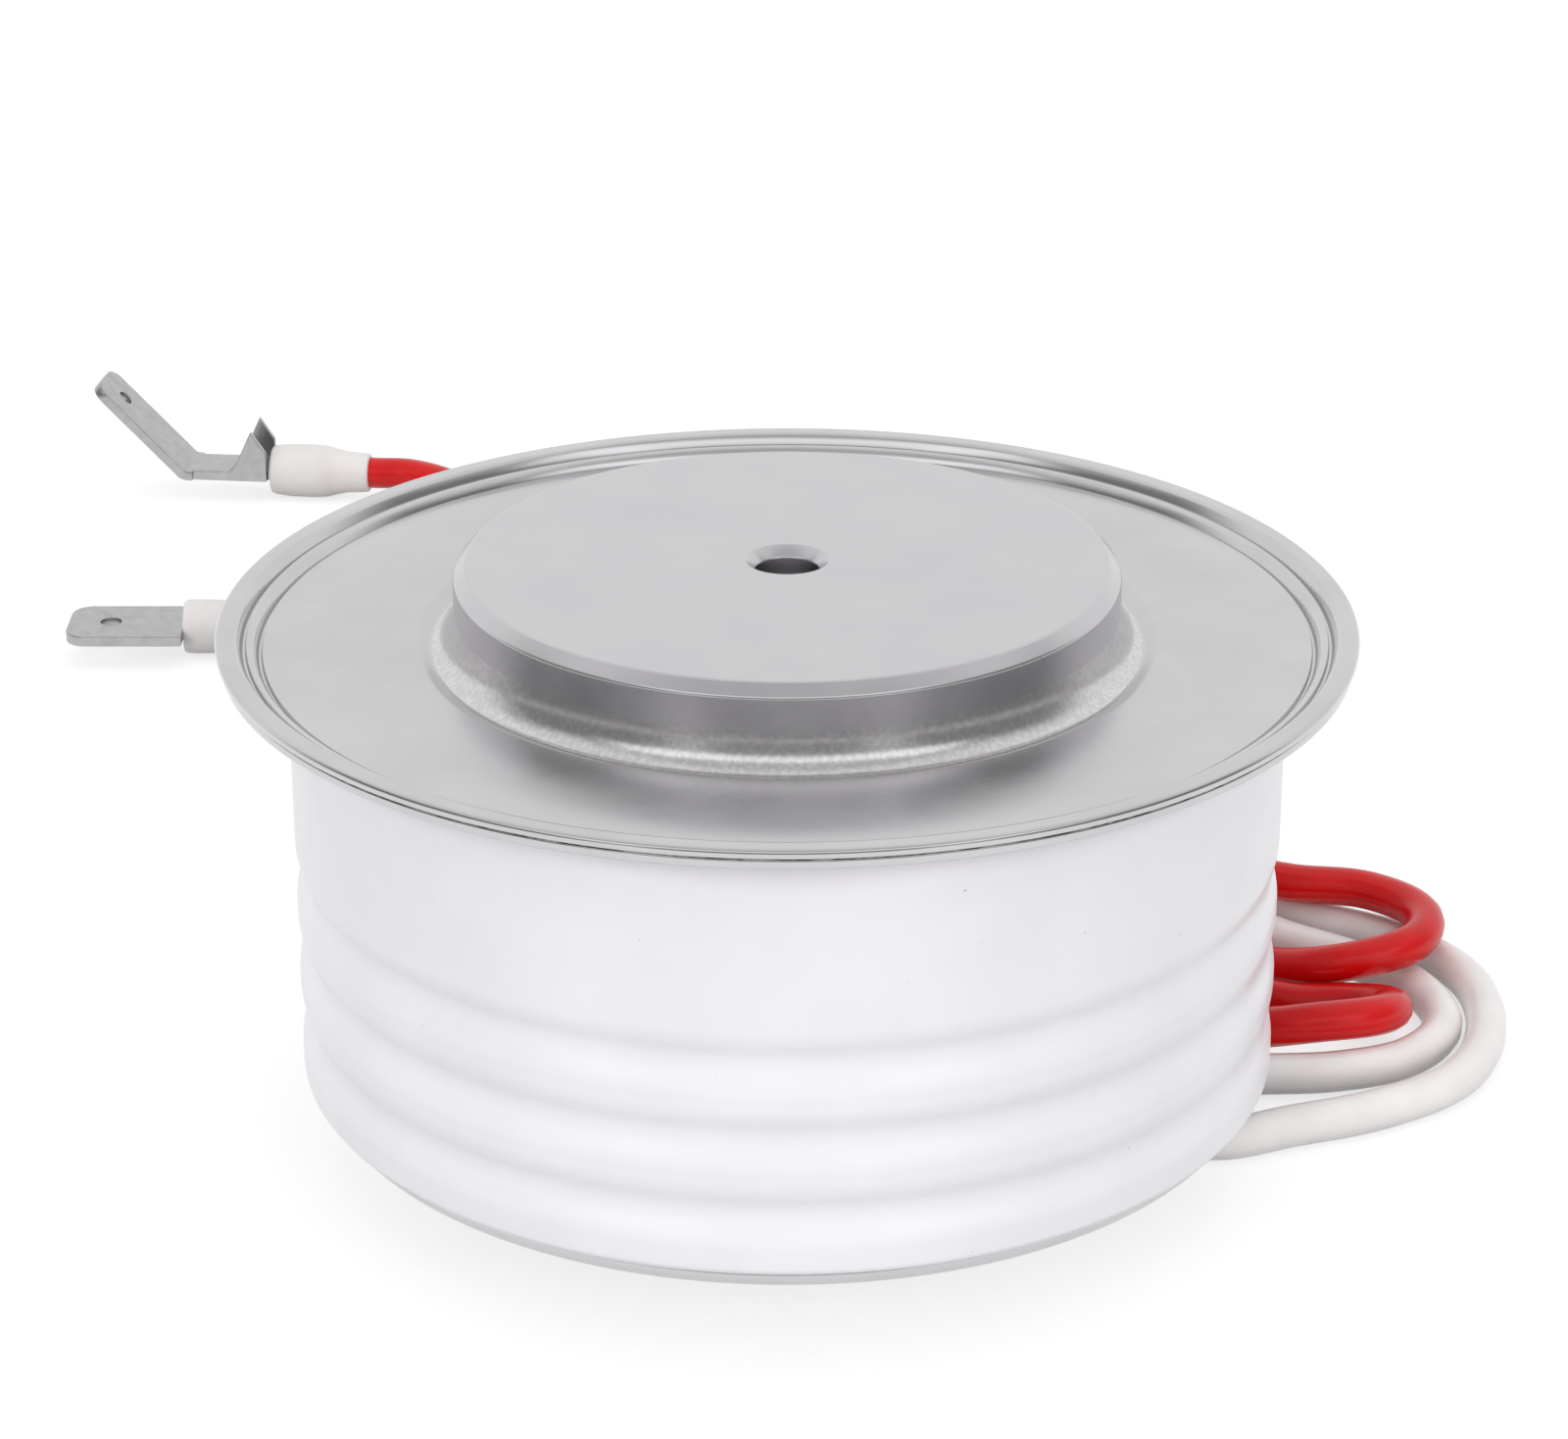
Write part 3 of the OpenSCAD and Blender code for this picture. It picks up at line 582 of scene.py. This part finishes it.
bm = cut_away(spin_section(section, rounded), wire_slot)
show("cathode_pole_turned", bm, "nickel_plate", "cathode_pole")
section = [
    (0, 17), (POLE_R, 17), (POLE_R, 14), (BODY_R, 14), (BODY_R, 5.6), (POLE_R, 5.6),
    (POLE_R, CHAMFER), (FACE_R, 0), *HOLE,
]
rounded = [
    ((POLE_R, CHAMFER), 0.12, 3), ((FACE_R, 0), 0.12, 3), ((2.4, 0), 0.06, 2), ((1.8, 0.6), 0.06, 2),
    ((POLE_R, 17), 0.2, 2), ((BODY_R, 14), 0.2, 2), ((BODY_R, 5.6), 0.2, 2),
]
show("anode_pole_turned", spin_section(section, rounded), "nickel_plate", "anode_pole")

# %% [markdown]
# ## The sheets
# The lid is one sheet 0.6 mm thick. It dips round the pole, runs flat, rises in two small steps and
# ends in a rolled edge. The press leaves a narrow crease at the foot of each step, which shows as a
# dark line. The weld ring has the same steps one sheet lower, so the two nest at the rim.

# %% Lid, weld ring and lower flange
SHEET_T = 0.6
STEPS_UP = [(30.1, 31.6), (30.4, 32.05), (31.0, 32.05), (31.3, 32.6)]
COLLAR_Z = 31.2
COLLAR = [(POLE_R, COLLAR_Z), (20.4, COLLAR_Z), (21.2, 31.6)]
LID_EDGE = (32.5, 32.6)
creases = [
    [(r - 0.27, z), (r - 0.18, z - 0.2), (r - 0.08, z - 0.2), (r, z + 0.02)] for r, z in STEPS_UP[0::2]
]
lid_top = COLLAR + creases[0] + [STEPS_UP[1]] + creases[1] + [STEPS_UP[3], LID_EDGE]
lid_low = [(r, z - SHEET_T) for r, z in reversed(COLLAR + STEPS_UP + [LID_EDGE])]
rounded = [(corner, 0.22, 4) for corner in COLLAR[1:] + STEPS_UP[1::2]]
rounded += [(corner, 0.2, 3) for corner in lid_low[1:7]]
rounded += [(lid_top[-1], 0.28, 5), (lid_low[0], 0.28, 5)]
show("lid_pressed", spin_section(lid_top + lid_low, rounded), "pressed_nickel", "cathode_flange")

weld_top = [(24, 31.0)] + [(r, z - SHEET_T) for r, z in STEPS_UP] + [(32.3, 32.0)]
weld_low = [(r, z - SHEET_T) for r, z in reversed(weld_top)]
rounded = [(corner, 0.2, 3) for corner in weld_top[1:5] + weld_low[1:5]]
rounded += [(weld_top[5], 0.15, 3), (weld_low[0], 0.2, 3)]
show("weld_ring_pressed", spin_section(weld_top + weld_low, rounded), "pressed_nickel", "weld_ring")

flange = [(POLE_R, 4.4), (27.5, 4.4), (27.5, 5.6), (POLE_R, 5.6)]
rounded = [(flange[1], 0.55, 6), (flange[2], 0.55, 6)]
show("anode_flange_pressed", spin_section(flange, rounded), "pressed_nickel", "anode_flange")

# %% [markdown]
# ## Braze fillet and rim weld
# The fillet is a hollow curve in the corner of pole and lid. The weld is a thin bead that lies in the
# groove between the edges of the two sheets. Both are spun like the rest.

# %% Braze fillet and rim weld
FILLET_W = 1.4
FILLET_H = 2.2
fillet = [(POLE_R, COLLAR_Z)]
for degrees in range(0, 91, 9):
    a = math.radians(degrees)
    fillet.append((POLE_R + FILLET_W * (1 - math.sin(a)), COLLAR_Z + FILLET_H * (1 - math.cos(a))))
show("lid_braze_fillet", spin_section(fillet, []), "silver_braze", "lid_braze")
SEAM_R = 32.15
SEAM_Z = 32.0
BEAD_R = 0.16
bead = [
    (SEAM_R + BEAD_R * math.cos(math.radians(a)), SEAM_Z + BEAD_R * math.sin(math.radians(a)))
    for a in range(0, 360, 45)
]
weld = show("rim_weld_bead", spin_section(bead, []), "pressed_nickel")
weld.data.materials[0] = finishes["heat_tint"]

# %% [markdown]
# ## Small pieces from their CAD solids
# The terminals and the lug have the right shape already, but their edges are razor sharp. A copy of
# each mesh has its doubles merged and its flat triangles joined, and its edges get a small radius.
# Slivers that the bevel leaves are dissolved, so that every edge has just two faces.

# %% Terminals and lug
SOFT_EDGE = 0.1


def soften(node_name, name):
    bm = bmesh.new()
    bm.from_mesh(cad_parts[node_name].data)
    bmesh.ops.remove_doubles(bm, verts=bm.verts, dist=0.002 * MM)
    bmesh.ops.dissolve_limit(bm, angle_limit=math.radians(1), verts=bm.verts, edges=bm.edges)
    sharp = [e for e in bm.edges if len(e.link_faces) == 2 and e.calc_face_angle(0) > math.radians(35)]
    bmesh.ops.bevel(
        bm, geom=sharp, offset=SOFT_EDGE * MM, offset_type="OFFSET", segments=2, profile=0.5,
        affect="EDGES", material=-1, clamp_overlap=True,
    )
    bmesh.ops.dissolve_degenerate(bm, dist=0.01 * MM, edges=bm.edges)
    many_sided = [face for face in bm.faces if len(face.verts) > 4]
    bmesh.ops.triangulate(bm, faces=many_sided, ngon_method="BEAUTY")
    return show(name, bm, "tin_plate", node_name)


gate_tab = soften("gate_terminal", "gate_terminal_pressed")
cathode_tab = soften("cathode_terminal", "cathode_terminal_pressed")
soften("cathode_lug", "cathode_lug_bent")

# %% [markdown]
# ## Shrunk sleeves
# A shrink sleeve is a tube that hugs what is under it: narrow on the lead, wider over the crimp, with
# soft ends. A straight tube would look like a bead, so each is a section spun round its own axis. A
# section lists the distance along the axis and the outer radius, and then the bore on the way back.

# %% Shrunk sleeves
def shrink_sleeve(name, node_name, start, heading, outer, bore):
    bm = bmesh.new()
    ring = [bm.verts.new((r * MM, 0, x * MM)) for x, r in outer + bore]
    edges = [bm.edges.new(side) for side in zip(ring, ring[1:] + ring[:1])]
    bmesh.ops.spin(
        bm, geom=ring + edges, cent=(0, 0, 0), axis=(0, 0, 1), angle=2 * math.pi, steps=32, use_merge=True
    )
    bmesh.ops.remove_doubles(bm, verts=bm.verts, dist=0.001 * MM)
    turn = Vector((0, 0, 1)).rotation_difference(Vector(heading)).to_matrix().to_4x4()
    bmesh.ops.transform(bm, matrix=Matrix.Translation(Vector(start) * MM) @ turn, verts=bm.verts)
    bmesh.ops.recalc_face_normals(bm, faces=bm.faces)
    return show(name, bm, "clear_sleeve", node_name)


gate_tab_sleeve = shrink_sleeve(
    "gate_terminal_sleeve_shrunk", "gate_terminal_sleeve", GATE_END, GATE_HEADING,
    [(-1, 1.85), (-0.9, 1.98), (-0.4, 2.1), (0.6, 2.15), (1.6, 2.05), (4, 1.98), (6, 2.02),
     (6.8, 2.0), (7, 1.9)],
    [(7, 1.77), (3, 1.77), (-1, 1.77)],
)
cathode_tab_sleeve = shrink_sleeve(
    "cathode_terminal_sleeve_shrunk", "cathode_terminal_sleeve", CATHODE_END, CATHODE_HEADING,
    [(-6.3, 1.38), (-6.2, 1.55), (-5.6, 1.62), (-4.4, 1.68), (-3.6, 1.86), (-2.8, 2.08), (-1.8, 2.15),
     (0, 2.14), (0.8, 2.08), (1.5, 1.98), (1.7, 1.88)],
    [(1.7, 1.77), (-3, 1.77), (-3.05, 1.27), (-6.3, 1.27)],
)
gate_joint = shrink_sleeve(
    "gate_joint_sleeve_shrunk", "gate_joint_sleeve", (0, 29.2, GATE_Z), (0, 1, 0),
    [(0, 1.7), (0.12, 1.95), (0.7, 2.12), (1.7, 2.15), (2.4, 2.0), (3.4, 1.78), (6, 1.66),
     (9.6, 1.62), (10.6, 1.55), (10.8, 1.4)],
    [(10.8, 1.27), (1.85, 1.27), (1.8, 1.52), (0, 1.52)],
)
joint_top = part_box("cathode_joint_sleeve")[1][2] / MM
cathode_joint = shrink_sleeve(
    "cathode_joint_sleeve_shrunk", "cathode_joint_sleeve",
    (CATHODE_START.x, CATHODE_START.y, joint_top), (0, 0, -1),
    [(0, 1.75), (0.15, 1.98), (0.8, 2.12), (2.2, 2.15), (3.2, 2.0), (4.4, 1.76), (7, 1.64),
     (8, 1.56), (8.2, 1.4)],
    [(8.2, 1.27), (2.4, 1.27), (2.35, 1.5), (0, 1.5)],
)

# %% [markdown]
# ## Lengths of the leads
# Each lead's length is printed as it is laid.

# %% [markdown]
# ## Floor and light
# The photograph is a plain studio shot on white. The floor is white paper that keeps a soft shadow,
# and part of its white is its own, so that the shadow stays pale. Metal shows that white too.

# %% Floor
FLOOR_LIFT = 0.66
bm = bmesh.new()
bmesh.ops.create_grid(bm, x_segments=1, y_segments=1, size=3)
mesh = bpy.data.meshes.new("studio_floor")
bm.to_mesh(mesh)
bm.free()
floor = bpy.data.objects.new("studio_floor", mesh)
bpy.context.scene.collection.objects.link(floor)
material, tree, shader = new_finish("white_studio_paper", Roughness=0.9, Specular_IOR_Level=0.1)
shader.inputs["Base Color"].default_value = linear("B4B4B4")
shader.inputs["Emission Color"].default_value = linear("FFFFFF")
path = add_node(tree, "ShaderNodeLightPath")
seen = add_node(
    tree, "ShaderNodeMath", {0: path.outputs["Is Camera Ray"], 1: path.outputs["Is Transmission Ray"]},
    operation="MAXIMUM",
)
shown = add_node(
    tree, "ShaderNodeMath", {0: seen.outputs["Value"], 1: path.outputs["Is Glossy Ray"]},
    operation="MAXIMUM",
)
lift = add_node(tree, "ShaderNodeMath", {0: shown.outputs["Value"], 1: FLOOR_LIFT}, operation="MULTIPLY")
tree.links.new(lift.outputs["Value"], shader.inputs["Emission Strength"])
mesh.materials.append(material)
print("floor made")

# %% [markdown]
# The world is white to the eye. In reflections it is a studio, because metal needs contrast: white
# behind, pale above, grey in front with a paler strip left and right, and darker at the sides. One
# bright panel high in front draws thin highlights along rounded edges.

# %% World
world = bpy.data.worlds.new("studio_world")
bpy.context.scene.world = world
world.use_nodes = True
tree = world.node_tree
path = add_node(tree, "ShaderNodeLightPath")
place = add_node(tree, "ShaderNodeTexCoord")
heading = add_node(tree, "ShaderNodeSeparateXYZ", {"Vector": place.outputs["Generated"]})
sideways = add_node(tree, "ShaderNodeMath", {0: heading.outputs["X"]}, operation="ABSOLUTE")
front = add_node(
    tree, "ShaderNodeMapRange", {"Value": sideways.outputs["Value"], 1: 0.45, 2: 0.8, 3: 0.32, 4: 0.26},
    interpolation_type="SMOOTHSTEP",
)
inner = add_node(
    tree, "ShaderNodeMapRange", {"Value": sideways.outputs["Value"], 1: 0.36, 2: 0.48, 3: 0, 4: 1}
)
outer = add_node(
    tree, "ShaderNodeMapRange", {"Value": sideways.outputs["Value"], 1: 0.56, 2: 0.68, 3: 0.3, 4: 0}
)
strip = add_node(
    tree, "ShaderNodeMath", {0: inner.outputs["Result"], 1: outer.outputs["Result"]},
    operation="MULTIPLY",
)
striped = add_node(
    tree, "ShaderNodeMath", {0: front.outputs["Result"], 1: strip.outputs["Value"]},
    operation="ADD",
)
behind = add_node(
    tree, "ShaderNodeMapRange",
    {"Value": heading.outputs["Y"], 1: 0.05, 2: 0.5, 3: striped.outputs["Value"], 4: 1.0},
    interpolation_type="SMOOTHSTEP",
)
ceiling = add_node(
    tree, "ShaderNodeMapRange", {"Value": heading.outputs["Y"], 1: -0.35, 2: 0, 3: 0.62, 4: 0.9}
)
above = add_node(
    tree, "ShaderNodeMapRange",
    {"Value": heading.outputs["Z"], 1: 0.25, 2: 0.75, 3: 0.0, 4: ceiling.outputs["Result"]},
    interpolation_type="SMOOTHSTEP",
)
studio = add_node(
    tree, "ShaderNodeMath", {0: behind.outputs["Result"], 1: above.outputs["Result"]},
    operation="MAXIMUM",
)
foot = add_node(tree, "ShaderNodeMapRange", {"Value": heading.outputs["Z"], 1: 0.42, 2: 0.5})
top = add_node(tree, "ShaderNodeMapRange", {"Value": heading.outputs["Z"], 1: 0.66, 2: 0.74, 3: 1, 4: 0})
near = add_node(
    tree, "ShaderNodeMapRange", {"Value": heading.outputs["Y"], 1: -0.45, 2: -0.3, 3: 0.8, 4: 0}
)
tall = add_node(
    tree, "ShaderNodeMath", {0: foot.outputs["Result"], 1: top.outputs["Result"]},
    operation="MULTIPLY",
)
panel = add_node(
    tree, "ShaderNodeMath", {0: tall.outputs["Value"], 1: near.outputs["Result"]},
    operation="MULTIPLY",
)
mirrored = add_node(
    tree, "ShaderNodeMath", {0: studio.outputs["Value"], 1: panel.outputs["Value"]},
    operation="ADD",
)
seen = add_node(
    tree, "ShaderNodeMath", {0: path.outputs["Is Camera Ray"], 1: path.outputs["Is Transmission Ray"]},
    operation="MAXIMUM",
)
matt = add_node(tree, "ShaderNodeMapRange", {"Value": seen.outputs["Value"], 3: 0.75, 4: 1.0})
glossy = add_node(
    tree, "ShaderNodeMix",
    {"Factor": path.outputs["Is Glossy Ray"], 2: matt.outputs["Result"], 3: mirrored.outputs["Value"]},
)
back = tree.nodes["Background"]
back.inputs["Color"].default_value = linear("FFFFFF")
tree.links.new(glossy.outputs[0], back.inputs["Strength"])
print("world made")

# %% [markdown]
# A broad lamp hangs overhead, and two smaller ones stand in front, left and right. Mirrors don't see
# them, so that a flat face never turns plain white.

# %% Lamps
def add_lamp(name, place, target, size, power):
    data = bpy.data.lights.new(name, "AREA")
    data.shape = "RECTANGLE"
    data.size, data.size_y = size
    data.energy = power
    lamp = bpy.data.objects.new(name, data)
    lamp.location = place
    lamp.rotation_euler = (Vector(target) - Vector(place)).to_track_quat("-Z", "Y").to_euler()
    bpy.context.scene.collection.objects.link(lamp)
    lamp.visible_glossy = False


add_lamp("overhead_softbox", (0, 0.1, 0.9), (0, 0.02, 0), (0.9, 0.7), 0.7)
add_lamp("left_softbox", (-0.55, -0.75, 0.3), (0, 0, 0.02), (0.5, 0.6), 2.5)
add_lamp("right_softbox", (0.55, -0.75, 0.3), (0, 0, 0.02), (0.5, 0.6), 2.3)
bpy.context.scene.view_settings.view_transform = "Standard"
print("lamps made")
